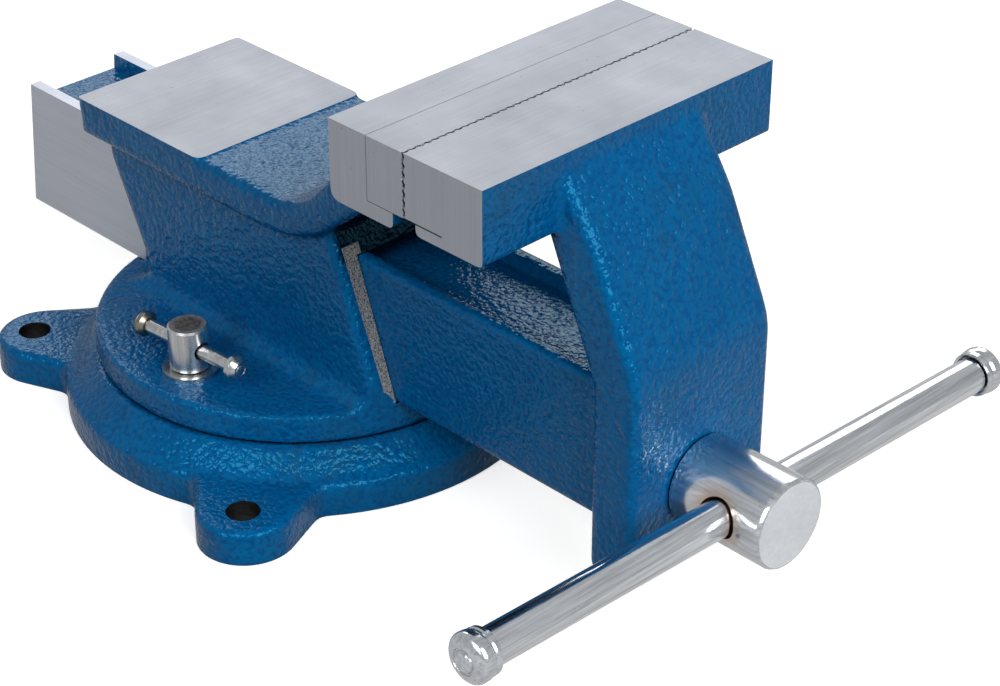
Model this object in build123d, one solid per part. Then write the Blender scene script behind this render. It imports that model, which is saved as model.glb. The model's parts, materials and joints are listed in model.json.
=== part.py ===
from build123d import *
import os
from math import acos, atan2, cos, degrees, hypot, radians, sin, tan

# Bench vise on a swivel base, closed. Millimetres. The origin is on the swivel axis at the
# base's bottom plane, +X runs along the screw towards the handle and +Z is up.

# Clearances
face_gap = 0.3        # between faces of pieces that move past each other
shaft_gap = 0.05      # radial, a turning shaft in its bore
screw_gap = 0.05      # radial, a screw, pin or tenon in its own hole
hole_gap = 0.5        # radial, a screw in a clearance hole
cover = 5.0           # how far joined castings and cutting bodies run into each other
same_place = 0.01     # two places nearer than this are the same

# Swivel base
base_radius = 104.0
base_height = 25.0
base_land = 3.0             # flat ring between the outer wall and the cone
base_top_radius = 91.0      # where the cone meets the top face
ear_height = 15.0           # also the height of the outer wall
ear_reach = 18.3            # bolt circle outside the base's outer wall
ear_end_radius = 20.3
ear_end_inset = 4.3         # centre of the ear's round end inside the bolt circle
ear_root_width = 51.0       # ear where it leaves the base's wall
ear_hole_radius = 7.0
ear_count = 4
ear_turn = 37.35            # degrees from +X to the first ear
ear_root_radius = 6.0
base_edge_radius = 2.5
groove_lip = 10.5           # thickness of the lips that hold the tee nuts down
groove_depth_gap = 1.2      # under the tee nuts

# Swivel plate and spigot under the fixed body
swivel_radius = 89.5
swivel_thickness = 13.0
swivel_edge_radius = 1.5
spigot_radius = 20.0
spigot_length = 15.0
spigot_bore_radius = 12.0
spigot_gap = 0.08           # radial, spigot in the base

# Body round the slide
body_width = 74.0
body_flare = 8.0            # radius where the body meets the swivel plate
body_rear_top = -90.0
body_rear_bottom = -59.0
body_front_top = 64.0
body_front_bottom = 87.0
body_rear_corner = 7.0
body_front_corner = 3.0
body_rise = 13.0            # body's top inside the table and the neck

# Anvil table and neck
table_top = 119.6
table_rear = -92.6
table_width = 87.8
table_thickness = 17.0
anvil_length = 80.2         # ground pad at the rear of the table
anvil_rise = 0.6            # pad above the painted top
neck_top_start = 49.7       # where the neck's top line leaves the table's level
neck_top_radius = 36.0
neck_top_drop = 9.7         # neck's top end below the jaws' top
neck_under_start = 49.5
neck_under_radius = 70.0
neck_under_depth = 25.8     # contact plane back to the neck's lower end
cast_edge_radius = 3.0

# Jaws: the jaw width sets the scale of the whole vise
jaw_width = 150.0
jaw_top = 190.9
jaw_gap = 0.3               # between the closed jaw plates
contact_x = 147.7           # plane where the closed jaws meet
plate_thickness = 19.3
plate_height = 26.0
ledge_setback = 5.85        # the ledges stop short of the contact plane
rear_jaw_depth = 39.2       # contact plane to the rear face
rear_jaw_drop = 6.3         # jaw's bottom below the plate's bottom
front_jaw_depth = 39.6      # contact plane to the front face
front_jaw_drop = 4.2
jaw_edge_radius = 4.0       # rear jaw's lower rear edge
front_edge_radius = 1.0     # front jaw's lower front edge
ledge_edge_radius = 1.0
plate_screw_spacing = 100.0
plate_screw_radius = 4.0
plate_screw_head_radius = 7.5
plate_screw_sink = 1.0      # head below the gripping face
plate_screw_reach = 13.0    # into the jaw behind the plate
plate_screw_key = 5.0       # hexagon socket, across flats
plate_screw_key_depth = 2.5

# Slide and arm of the front jaw
slide_width = 51.4
slide_height = 59.6
slide_seat = 0.2            # seat of the slide above the swivel plate
slide_wall = 5.2
slide_web = 10.0            # between the top recess and the hollow
slide_recess = 7.1
slide_rear = -160.4         # rear end at the slide's bottom edge
slide_rear_lean = 5.5       # top edge of the rear end in front of its bottom edge
arm_width = 74.0
arm_rear = 203.5
arm_front = 225.4
arm_bottom = 24.0
arm_start_drop = 7.0        # where the arm leaves the jaw's front face, below its top
arm_shoulder_reach = 16.7   # shoulder in front of the jaw's front face
arm_shoulder_drop = 31.9    # shoulder below the jaw's top
arm_shoulder_radius = 60.0
arm_knee = 112.0            # height where the slanted front turns upright
arm_knee_radius = 30.0
arm_back_knee = 104.0
arm_back_radius = 25.0
arm_root = 8.6              # arm's back at the jaw's underside, behind the jaw's front face
arm_edge_radius = 3.5

# Spindle, its nut and its collar
screw_z = 58.2
thread_radius = 12.0
spindle_rear = -140.0
spindle_end_chamfer = 2.0
head_radius = 18.15
head_length = 43.2
head_edge = 1.2
handle_hole_place = 22.5    # handle's axis from the head's inner face
nut_rear = 26.0
nut_length = 44.0
nut_width = 39.0
nut_screw_spacing_x = 24.0
nut_screw_spacing_y = 27.0
nut_screw_radius = 4.0
nut_screw_head_radius = 6.5
nut_screw_head_height = 6.0
nut_screw_sink = 1.0        # heads above the swivel plate's underside
nut_screw_reach = 10.7      # into the nut
nut_screw_key = 6.0         # hexagon socket, across flats
collar_radius = 17.0
collar_length = 10.0
collar_pin_radius = 2.5
collar_pin_inset = 0.5

# Handle
handle_bar_radius = 7.3
handle_grip = 268.8         # bar between the knobs
handle_offset = 1.4         # bar's middle from the screw axis, at rest
handle_roll = -1.86         # degrees about the screw axis, at rest
handle_hole_gap = 1.0       # radial, bar in the head
handle_knob_radius = 9.65
handle_knob_length = 11.0
handle_tenon_radius = 4.7

# Shape of all knobs, as fractions of their length or radius
knob_rim_start = 0.3
knob_rim_end = 0.6
knob_rounding = 0.2
knob_face = 0.55
clamp_knob_inner = 0.8      # clamp knob's inner face

# Clamps beside the body
clamp_x = 6.8
clamp_y = 68.0
clamp_head_radius = 8.45
clamp_head_height = 19.4
clamp_head_edge = 0.8
clamp_shank_radius = 5.0
clamp_bar_height = 9.5      # cross bar above the head's lower face
clamp_bar_radius = 3.1
clamp_bar_gap = 0.9         # radial, bar in the head
clamp_bar_grip = 48.2       # bar between its knobs
clamp_bar_offset = 0.5      # bar's middle from the screw's axis, at rest
clamp_bar_turn = 4.6        # degrees from +X, at rest
clamp_knob_radius = 5.4
clamp_knob_length = 6.0
clamp_tenon_radius = 1.9
washer_radius = 11.7
washer_thickness = 1.7
tee_width = 18.0
tee_length = 26.0
tee_height = 8.0
tee_side_gap = 1.0
tee_tip_gap = 0.8           # screw's lower end above the tee nut's underside

# Levels and places that follow
swivel_bottom = base_height + face_gap
swivel_top = swivel_bottom + swivel_thickness
slide_floor = swivel_top + slide_seat
slide_bottom = slide_floor + face_gap
slide_top = slide_bottom + slide_height
table_bottom = table_top - table_thickness
plate_bottom = jaw_top - plate_height
plate_middle = jaw_top - plate_height / 2
rear_plate_front = contact_x - jaw_gap / 2
front_plate_front = contact_x + jaw_gap / 2
rear_plate_back = rear_plate_front - plate_thickness
front_plate_back = front_plate_front + plate_thickness
rear_jaw_back = contact_x - rear_jaw_depth
front_jaw_face = contact_x + front_jaw_depth
head_inner = arm_front + face_gap
handle_x = head_inner + handle_hole_place
washer_top = swivel_top + washer_thickness
clamp_head_bottom = washer_top + face_gap
clamp_bar_z = clamp_head_bottom + clamp_bar_height
tee_top = base_height - groove_lip - face_gap
tee_bottom = tee_top - tee_height
groove_radius = hypot(clamp_x, clamp_y)
ear_circle_radius = base_radius + ear_reach

os.makedirs("parts", exist_ok=True)


def save(node, solid):
    export_step(solid, f"parts/{node}.step")


def rounded_outline(corners):
    """Closed flat outline through corners (x, y, rounding radius)."""
    edges = []
    starts = []
    ends = []
    count = len(corners)
    for i, (x, y, radius) in enumerate(corners):
        here = Vector(x, y)
        back = (Vector(*corners[i - 1][:2]) - here).normalized()
        on = (Vector(*corners[(i + 1) % count][:2]) - here).normalized()
        half_angle = radians(back.get_angle(on) / 2)
        reach = radius / tan(half_angle)
        start = here + back * reach
        end = here + on * reach
        starts.append(start)
        ends.append(end)
        if radius > 0:
            middle = here + (back + on).normalized() * (radius / sin(half_angle) - radius)
            edges.append(ThreePointArc(start, middle, end))
    for i in range(count):
        edges.append(Line(ends[i], starts[(i + 1) % count]))
    return make_face(edges)


def side_solid(corners, width):
    """Solid with the given side view (x, z, rounding radius), centred on the XZ plane."""
    return extrude(Plane.XZ * rounded_outline(corners), amount=width / 2, both=True)


def turned(profile, plane):
    """Solid of revolution about the plane's own Y axis, from (radius, place, rounding) corners."""
    return plane * revolve(rounded_outline(profile), axis=Axis.Y)


def box_between(low, high):
    size = Vector(*high) - Vector(*low)
    middle = (Vector(*high) + Vector(*low)) / 2
    return Pos(middle) * Box(size.X, size.Y, size.Z)


def rod(start, end, radius):
    """Plain round rod between two points."""
    path = Vector(*end) - Vector(*start)
    return extrude(Plane(origin=start, z_dir=path) * Circle(radius), amount=path.length)


def across(solid, axis_name, places):
    """Edges of the solid whose whole length lies at one of the places on an axis."""
    kept = ShapeList()
    for edge in solid.edges():
        box = edge.bounding_box()
        low = getattr(box.min, axis_name)
        high = getattr(box.max, axis_name)
        if any(abs(low - p) < same_place and abs(high - p) < same_place for p in places):
            kept.append(edge)
    return kept


def ear_outline():
    """Ear along +X: a round end joined by tangents to its wider root inside the base's wall."""
    middle = ear_circle_radius - ear_end_inset
    root_half = ear_root_width / 2
    root = (base_radius ** 2 - root_half ** 2) ** 0.5
    # where the tangent from the root's corner touches the round end
    far = hypot(middle - root, root_half)
    lean = atan2(root_half, root - middle) - acos(ear_end_radius / far)
    touch = (middle + ear_end_radius * cos(lean), ear_end_radius * sin(lean))
    corners = [(root - cover, -root_half), (root, -root_half), (touch[0], -touch[1]), touch,
               (root, root_half), (root - cover, root_half)]
    return make_face(Polyline(*corners, close=True)) + Pos(middle, 0) * Circle(ear_end_radius)


def swivel_base():
    outline = Circle(base_radius)
    holes = []
    for i in range(ear_count):
        turn = Rot(0, 0, ear_turn + 360 / ear_count * i)
        outline += turn * ear_outline()
        holes.append(turn * Pos(ear_circle_radius, 0, 0))
    roots = [v for v in outline.vertices() if abs(hypot(v.X, v.Y) - base_radius) < same_place]
    outline = fillet(roots, ear_root_radius)
    slab = extrude(outline, amount=ear_height)
    slab = fillet(slab.faces().sort_by(Axis.Z)[-1].edges(), base_edge_radius)
    cone = Pos(0, 0, ear_height - cover / 2) * Cylinder(base_radius - base_land, cover)
    cone += Pos(0, 0, (ear_height + base_height) / 2) * Cone(
        base_radius - base_land, base_top_radius, base_height - ear_height)
    base = slab + cone
    for place in holes:
        base -= place * Cylinder(ear_hole_radius, 3 * ear_height)
    base -= Cylinder(spigot_radius + spigot_gap, 3 * base_height)
    # ring groove: a slot for the screws over a wider space for the tee nuts
    slot_half = clamp_shank_radius + hole_gap
    slot = Cylinder(groove_radius + slot_half, 2 * cover + groove_lip)
    slot -= Cylinder(groove_radius - slot_half, 2 * cover + groove_lip)
    base -= Pos(0, 0, base_height - groove_lip / 2) * slot
    groove_low = tee_bottom - groove_depth_gap
    groove_high = base_height - groove_lip
    space = Cylinder(tee_reach() + tee_side_gap, groove_high - groove_low)
    space -= Cylinder(groove_radius - tee_width / 2 - tee_side_gap, groove_high - groove_low)
    base -= Pos(0, 0, (groove_low + groove_high) / 2) * space
    # openings in the floor that let the tee nuts in
    for x in (-groove_radius, groove_radius):
        entry = Box(tee_width + 2 * tee_side_gap, tee_length + 2 * tee_side_gap, 2 * groove_low)
        base -= Pos(x, 0, groove_low / 2) * entry
    return base


def tee_reach():
    """Distance from the swivel axis to a tee nut's outer corners."""
    return hypot(groove_radius + tee_width / 2, tee_length / 2)


def upright_corners(block, rear):
    """Edges that run up the body's rear or front corners."""
    kept = ShapeList()
    for edge in block.edges():
        box = edge.bounding_box()
        on_side = min(abs(box.min.Y), abs(box.max.Y)) > body_width / 2 - same_place
        rising = box.size.Z > 1 and box.min.Z > swivel_top - same_place
        if on_side and rising and (box.max.X < 0) == rear:
            kept.append(edge)
    return kept


def body_block():
    """Upright body round the slide, flared where it meets the swivel plate."""
    low = swivel_top - cover
    high = table_bottom + body_rise
    half = body_width / 2
    out = half + body_flare + cover
    section = [(half, high, 0), (half, swivel_top, body_flare), (out, swivel_top, 0), (out, low, 0),
               (-out, low, 0), (-out, swivel_top, 0), (-half, swivel_top, body_flare), (-half, high, 0)]
    length = 2 * swivel_radius
    lengthwise = extrude(Plane.YZ * rounded_outline(section), amount=length, both=True)
    front_slope = (body_front_bottom - body_front_top) / (table_bottom - swivel_top)
    rear_out = body_rear_bottom - body_flare - cover
    side = [(body_rear_top, high, 0), (body_rear_top, table_bottom, 0),
            (body_rear_bottom, swivel_top, body_flare), (rear_out, swivel_top, 0), (rear_out, low, 0),
            (body_front_bottom + front_slope * cover, low, 0),
            (body_front_top - front_slope * body_rise, high, 0)]
    block = lengthwise & side_solid(side, length)
    block = fillet(upright_corners(block, True), body_rear_corner)
    block = fillet(upright_corners(block, False), body_front_corner)
    return block & Cylinder(swivel_radius, 2 * jaw_top)


def fixed_body():
    rear_table = [(table_rear, table_top - anvil_rise, 0),
                  (neck_top_start, table_top - anvil_rise, neck_top_radius),
                  (rear_jaw_back, jaw_top - neck_top_drop, 0),
                  (rear_jaw_back + cover, jaw_top - neck_top_drop, 0),
                  (contact_x - neck_under_depth, plate_bottom - rear_jaw_drop + cover, 0),
                  (contact_x - neck_under_depth, plate_bottom - rear_jaw_drop, 0),
                  (neck_under_start, table_bottom, neck_under_radius),
                  (table_rear, table_bottom, 0)]
    table = side_solid(rear_table, table_width)
    sides = across(table, "Y", (-table_width / 2, table_width / 2))
    table = fillet(sides, cast_edge_radius)
    table += box_between((table_rear, -table_width / 2, table_top - 2 * cast_edge_radius),
                         (table_rear + anvil_length, table_width / 2, table_top))
    jaw_bottom = plate_bottom - rear_jaw_drop
    ledge_front = contact_x - ledge_setback
    jaw = side_solid([(rear_jaw_back, jaw_top, 0), (rear_jaw_back, jaw_bottom, jaw_edge_radius),
                      (ledge_front, jaw_bottom, ledge_edge_radius), (ledge_front, plate_bottom, 0),
                      (rear_plate_back, plate_bottom, 0), (rear_plate_back, jaw_top, 0)], jaw_width)
    plate = Pos(0, 0, (swivel_bottom + swivel_top) / 2) * Cylinder(swivel_radius, swivel_thickness)
    plate = fillet(plate.edges(), swivel_edge_radius)
    spigot = Pos(0, 0, swivel_bottom + (cover - spigot_length) / 2) * Cylinder(
        spigot_radius, spigot_length + cover)
    body = body_block() + plate + spigot + table + jaw
    body -= box_between((2 * slide_rear, -slide_width / 2 - face_gap, slide_floor),
                        (2 * arm_front, slide_width / 2 + face_gap, slide_top + face_gap))
    body -= Pos(0, 0, swivel_bottom - spigot_length / 2) * Cylinder(spigot_bore_radius, spigot_length)
    for side in (-1, 1):
        body -= Pos(clamp_x, side * clamp_y, swivel_top) * Cylinder(
            clamp_shank_radius + hole_gap, 3 * swivel_thickness)
    for x, y in nut_screw_places():
        body -= rod((x, y, swivel_bottom - cover), (x, y, slide_floor + cover), nut_screw_radius + hole_gap)
        body -= rod((x, y, swivel_bottom - cover), (x, y, nut_head_top()), nut_screw_head_radius + hole_gap)
    for y in plate_screw_places():
        body -= rod((rear_plate_back + cover, y, plate_middle),
                    (rear_plate_back - plate_screw_reach - screw_gap, y, plate_middle),
                    plate_screw_radius + screw_gap)
    return body


def plate_screw_places():
    return (-plate_screw_spacing / 2, plate_screw_spacing / 2)


def nut_screw_places():
    middle = nut_rear + nut_length / 2
    return [(middle + sx * nut_screw_spacing_x / 2, sy * nut_screw_spacing_y / 2)
            for sx in (-1, 1) for sy in (-1, 1)]


def nut_head_top():
    return swivel_bottom + nut_screw_sink + nut_screw_head_height


def countersunk_screw(extra):
    """Plate screw along +Z from its flat face at z 0, grown all round by extra."""
    cone_depth = plate_screw_head_radius - plate_screw_radius
    length = plate_thickness - plate_screw_sink + plate_screw_reach
    shank = Pos(0, 0, length / 2) * Cylinder(plate_screw_radius + extra, length)
    head = Pos(0, 0, cone_depth / 2) * Cone(plate_screw_head_radius, plate_screw_radius, cone_depth)
    return shank + head


def plate_and_screws(face_x, direction):
    """Jaw plate with its gripping face at face_x, and its two screws, pointing into the jaw."""
    plate = box_between((min(face_x, face_x + direction * plate_thickness), -jaw_width / 2, plate_bottom),
                        (max(face_x, face_x + direction * plate_thickness), jaw_width / 2, jaw_top))
    screws = []
    for y in plate_screw_places():
        at = Plane(origin=(face_x + direction * plate_screw_sink, y, plate_middle),
                   z_dir=(direction, 0, 0))
        key = extrude(RegularPolygon(plate_screw_key / 2, 6, major_radius=False),
                      amount=plate_screw_key_depth)
        screws.append(at * (countersunk_screw(0) - key))
        plate -= at * countersunk_screw(screw_gap)
        plate -= rod((face_x - direction * cover, y, plate_middle),
                     (face_x + direction * plate_screw_sink, y, plate_middle), plate_screw_head_radius)
    return plate, Compound(screws)


def movable_jaw():
    jaw_bottom = plate_bottom - front_jaw_drop
    ledge_front = contact_x + ledge_setback
    jaw = side_solid([(front_jaw_face, jaw_top, 0), (front_jaw_face, jaw_bottom, front_edge_radius),
                      (ledge_front, jaw_bottom, ledge_edge_radius), (ledge_front, plate_bottom, 0),
                      (front_plate_back, plate_bottom, 0), (front_plate_back, jaw_top, 0)], jaw_width)
    arm_back_top = front_jaw_face - arm_root
    inside = front_plate_back + cover
    arm = side_solid([(inside, jaw_top - arm_start_drop, 0),
                      (front_jaw_face, jaw_top - arm_start_drop, 0),
                      (front_jaw_face + arm_shoulder_reach, jaw_top - arm_shoulder_drop, arm_shoulder_radius),
                      (arm_front, arm_knee, arm_knee_radius),
                      (arm_front, arm_bottom, arm_edge_radius),
                      (arm_rear, arm_bottom, arm_edge_radius),
                      (arm_rear, arm_back_knee, arm_back_radius),
                      (arm_back_top, jaw_bottom, 0),
                      (inside, jaw_bottom + cover, 0)], arm_width)
    arm = fillet(across(arm, "Y", (-arm_width / 2, arm_width / 2)), arm_edge_radius)
    half = slide_width / 2
    slide = side_solid([(slide_rear, slide_bottom, 0), (arm_rear + cover, slide_bottom, 0),
                        (arm_rear + cover, slide_top, 0), (slide_rear + slide_rear_lean, slide_top, 0)],
                       slide_width)
    inner = half - slide_wall
    slide -= box_between((slide_rear - cover, -inner, slide_top - slide_recess),
                         (arm_rear + 2 * cover, inner, slide_top + cover))
    slide -= box_between((slide_rear - cover, -inner, slide_bottom - cover),
                         (arm_rear + 2 * cover, inner, slide_top - slide_recess - slide_web))
    casting = jaw + arm + slide
    casting -= rod((arm_rear - cover, 0, screw_z), (arm_front + cover, 0, screw_z), thread_radius + shaft_gap)
    for y in plate_screw_places():
        casting -= rod((front_plate_back - cover, y, plate_middle),
                       (front_plate_back + plate_screw_reach + screw_gap, y, plate_middle),
                       plate_screw_radius + screw_gap)
    return casting


def spindle():
    screw = turned([(0, spindle_rear, 0), (thread_radius - spindle_end_chamfer, spindle_rear, 0),
                    (thread_radius, spindle_rear + spindle_end_chamfer, 0), (thread_radius, head_inner, 0),
                    (head_radius, head_inner, 0),
                    (head_radius, head_inner + head_length, head_edge), (0, head_inner + head_length, 0)],
                   Plane(origin=(0, 0, screw_z), x_dir=(0, 0, 1), z_dir=(0, 1, 0)))
    screw -= handle_place() * Cylinder(handle_bar_radius + handle_hole_gap, 3 * head_radius)
    return screw - collar_pin_hole()


def handle_place():
    """Placement whose Z axis runs along the handle bar from the screw axis."""
    return Pos(handle_x, 0, screw_z) * Rot(handle_roll, 0, 0) * Rot(-90, 0, 0)


def collar_x():
    return arm_rear - face_gap - collar_length / 2


def collar_pin_hole():
    return Pos(collar_x(), 0, screw_z) * Cylinder(collar_pin_radius + screw_gap, 3 * collar_radius)


def retaining_collar():
    ring = Cylinder(collar_radius, collar_length) - Cylinder(thread_radius + screw_gap, collar_length)
    return Pos(collar_x(), 0, screw_z) * Rot(0, 90, 0) * ring - collar_pin_hole()


def collar_pin():
    return Pos(collar_x(), 0, screw_z) * Cylinder(collar_pin_radius, 2 * (collar_radius - collar_pin_inset))


def spindle_nut():
    half = nut_width / 2
    nut = box_between((nut_rear, -half, slide_floor), (nut_rear + nut_length, half, screw_z))
    round_top = rod((nut_rear, 0, screw_z), (nut_rear + nut_length, 0, screw_z), half)
    nut += round_top & box_between((nut_rear, -half, screw_z - cover),
                                   (nut_rear + nut_length, half, screw_z + half))
    nut -= rod((nut_rear - cover, 0, screw_z), (nut_rear + nut_length + cover, 0, screw_z),
               thread_radius + shaft_gap)
    for x, y in nut_screw_places():
        nut -= rod((x, y, slide_floor - cover), (x, y, slide_floor + nut_screw_reach + screw_gap),
                   nut_screw_radius + screw_gap)
    return nut


def nut_screws():
    screws = []
    for x, y in nut_screw_places():
        head_low = nut_head_top() - nut_screw_head_height
        screw = rod((x, y, head_low), (x, y, nut_head_top()), nut_screw_head_radius)
        screw += rod((x, y, head_low), (x, y, slide_floor + nut_screw_reach), nut_screw_radius)
        key = Pos(x, y, head_low) * extrude(RegularPolygon(nut_screw_key / 2, 6, major_radius=False),
                                            amount=nut_screw_head_height / 2)
        screws.append(screw - key)
    return Compound(screws)


def tenoned_bar(radius, grip, tenon_radius, knob_length):
    """Bar along Z, centred, with a thinner tenon at each end for its knob."""
    return Cylinder(radius, grip) + Cylinder(tenon_radius, grip + 2 * knob_length)


def knob(radius, length, bore_radius, inner_radius):
    """Domed knob along +Z from its inner face at z 0."""
    rounding = length * knob_rounding
    profile = [(bore_radius, 0, 0), (inner_radius, 0, 0), (radius, length * knob_rim_start, rounding),
               (radius, length * knob_rim_end, rounding), (radius * knob_face, length, rounding),
               (bore_radius, length, 0)]
    return turned(profile, Plane(origin=(0, 0, 0), x_dir=(1, 0, 0), z_dir=(0, -1, 0)))


def bar_pieces(place, offset, bar, knob_solid, grip):
    """Bar and its two knobs, at the low and the high end of the placement's Z axis."""
    shifted = place * Pos(0, 0, offset)
    low = shifted * Pos(0, 0, -grip / 2) * Rot(180, 0, 0) * knob_solid
    high = shifted * Pos(0, 0, grip / 2) * knob_solid
    return shifted * bar, low, high


def clamp_pieces(name, side):
    """Clamp on one side of the body: side is -1 for the left hand of the person at the handle."""
    at = Pos(clamp_x, side * clamp_y, 0)
    shank_low = tee_bottom + tee_tip_gap
    head_middle = clamp_head_bottom + clamp_head_height / 2
    head = Pos(0, 0, head_middle) * Cylinder(clamp_head_radius, clamp_head_height)
    head = chamfer(head.edges(), clamp_head_edge)
    shank_middle = (shank_low + clamp_head_bottom + cover) / 2
    screw = head + Pos(0, 0, shank_middle) * Cylinder(
        clamp_shank_radius, clamp_head_bottom + cover - shank_low)
    bar_place = Pos(0, 0, clamp_bar_z) * Rot(0, 0, -side * clamp_bar_turn) * Rot(0, 90, 0)
    screw -= bar_place * Cylinder(clamp_bar_radius + clamp_bar_gap, 3 * clamp_head_radius)
    washer = Cylinder(washer_radius, washer_thickness)
    washer -= Cylinder(clamp_shank_radius + hole_gap, washer_thickness)
    washer = Pos(0, 0, washer_top - washer_thickness / 2) * washer
    out = degrees(atan2(side * clamp_y, clamp_x))
    tee = Rot(0, 0, out) * Box(tee_width, tee_length, tee_height)
    tee -= Cylinder(clamp_shank_radius + shaft_gap, tee_height)
    tee = Pos(0, 0, tee_bottom + tee_height / 2) * tee
    bar, rear_knob, front_knob = bar_pieces(
        bar_place, clamp_bar_offset,
        tenoned_bar(clamp_bar_radius, clamp_bar_grip, clamp_tenon_radius, clamp_knob_length),
        knob(clamp_knob_radius, clamp_knob_length, clamp_tenon_radius + screw_gap,
             clamp_knob_radius * clamp_knob_inner),
        clamp_bar_grip)
    save(f"{name}_clamp_screw", at * screw)
    save(f"{name}_clamp_washer", at * washer)
    save(f"{name}_tee_nut", at * tee)
    save(f"{name}_clamp_bar", at * bar)
    save(f"{name}_clamp_rear_knob", at * rear_knob)
    save(f"{name}_clamp_front_knob", at * front_knob)


save("swivel_base", swivel_base())
save("fixed_body", fixed_body())
rear_plate, rear_plate_screws = plate_and_screws(rear_plate_front, -1)
save("fixed_jaw_plate", rear_plate)
save("fixed_jaw_screws", rear_plate_screws)
save("spindle_nut", spindle_nut())
save("nut_screws", nut_screws())
save("movable_jaw", movable_jaw())
front_plate, front_plate_screws = plate_and_screws(front_plate_front, 1)
save("movable_jaw_plate", front_plate)
save("movable_jaw_screws", front_plate_screws)
save("spindle", spindle())
save("retaining_collar", retaining_collar())
save("collar_pin", collar_pin())
handle_bar, near_knob, far_knob = bar_pieces(
    handle_place(), handle_offset,
    tenoned_bar(handle_bar_radius, handle_grip, handle_tenon_radius, handle_knob_length),
    knob(handle_knob_radius, handle_knob_length, handle_tenon_radius + screw_gap, handle_bar_radius),
    handle_grip)
save("handle_bar", handle_bar)
save("near_handle_knob", near_knob)
save("far_handle_knob", far_knob)
clamp_pieces("left", -1)
clamp_pieces("right", 1)
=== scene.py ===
import json
import math

import bmesh
import bpy
import numpy as np
from mathutils import Matrix, Vector


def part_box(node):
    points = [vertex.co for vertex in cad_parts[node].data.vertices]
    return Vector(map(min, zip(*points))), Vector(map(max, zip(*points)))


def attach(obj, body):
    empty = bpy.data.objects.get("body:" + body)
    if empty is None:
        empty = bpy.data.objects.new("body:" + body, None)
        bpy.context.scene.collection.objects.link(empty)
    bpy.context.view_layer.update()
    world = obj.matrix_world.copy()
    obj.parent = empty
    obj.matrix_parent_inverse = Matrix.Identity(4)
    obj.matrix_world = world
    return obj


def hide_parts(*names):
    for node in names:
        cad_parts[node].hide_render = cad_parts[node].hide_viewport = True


# Looks of a bench vise: cast skins with machined faces, serrated jaw plates, a threaded screw.
# Lengths are in metres. X runs along the screw towards the handle, -Y is the near side, Z is up.
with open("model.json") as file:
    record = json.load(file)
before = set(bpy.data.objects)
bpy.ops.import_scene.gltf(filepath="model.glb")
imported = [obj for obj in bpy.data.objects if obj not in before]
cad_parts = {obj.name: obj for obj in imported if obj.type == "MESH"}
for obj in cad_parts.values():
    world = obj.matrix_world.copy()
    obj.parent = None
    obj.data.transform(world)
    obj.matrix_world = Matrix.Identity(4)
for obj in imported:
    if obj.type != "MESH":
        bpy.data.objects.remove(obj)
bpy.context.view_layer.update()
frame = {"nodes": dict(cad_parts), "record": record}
nodes = frame["nodes"]
MM = 0.001
FAR = 1.0  # well outside the part
X, Y, Z = range(3)

# Places taken from the frame
rear_plate_low, rear_plate_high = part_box("fixed_jaw_plate")
front_plate_low, front_plate_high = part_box("movable_jaw_plate")
body_low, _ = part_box("fixed_body")
front_low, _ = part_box("movable_jaw")
spindle_low, spindle_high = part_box("spindle")
collar_low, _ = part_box("retaining_collar")
JAW_TOP = rear_plate_high.z
JAW_HALF = rear_plate_high.y
PLATE_BOTTOM = rear_plate_low.z
SCREW_Z = (spindle_low.z + spindle_high.z) / 2
BODY_REAR = body_low.x
SLIDE_REAR = front_low.x

# Sizes repeated from the part
SLIDE_HALF = 25.7 * MM
SLIDE_INNER = 20.5 * MM
SLIDE_BOTTOM = 38.8 * MM
SLIDE_TOP = 98.4 * MM
SLIDE_LEAN = 5.5 * MM
RECESS_FLOOR = 91.3 * MM
HOLLOW_TOP = 81.3 * MM
SLIDE_GAP = 0.3 * MM
ARM_REAR = 203.5 * MM
TABLE_TOP = 119.6 * MM
TABLE_BOTTOM = 102.6 * MM
ANVIL_FRONT = -12.4 * MM
BODY_FRONT_TOP = 64.0 * MM
BODY_FRONT_BOTTOM = 87.0 * MM
SWIVEL_TOP = 38.3 * MM
SPIGOT_BORE = 20.08 * MM
EAR_CIRCLE = 122.3 * MM
EAR_TURN = 37.35  # degrees
EAR_HOLE = 7.0 * MM
EAR_HEIGHT = 15.0 * MM
LEDGE_SETBACK = 5.85 * MM
PLATE_SCREW_Y = 50.0 * MM
PLATE_SCREW_HEAD = 7.5 * MM
PLATE_SCREW_SINK = 1.0 * MM
PLATE_SCREW_SHANK = 4.05 * MM
SCREW_BORE = 12.05 * MM
HEAD_RADIUS = 18.15 * MM
HEAD_INNER = 225.7 * MM
HEAD_EDGE = 1.2 * MM
HOLE_RADIUS = 8.3 * MM
HANDLE = {"radius": 7.3 * MM, "grip": 268.8 * MM, "knob_radius": 9.65 * MM, "knob_length": 11 * MM}
CLAMP_BAR = {"radius": 3.1 * MM, "grip": 48.2 * MM, "knob_radius": 5.4 * MM, "knob_length": 6 * MM}

# Skin of the castings
VOXEL = 1.3 * MM
SMOOTH_SHARE = 0.5
SMOOTH_STEPS = 6
KEEP_FACES = 0.5
STOCK = 6.0 * MM  # what machining takes off a face
SAME_PLANE = 0.01 * MM
FLAT_BAND = 0.03 * MM
STRIP_BAND = 0.05 * MM
MARGIN = 1.0 * MM
SQUARE = 0.98  # share of a normal along an axis, for a face square to it
STEEP = 0.3  # the same, for a face nearly along it
SHARP_ANGLE = math.radians(35)
TURNED_SHARP_ANGLE = math.radians(22)

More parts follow.
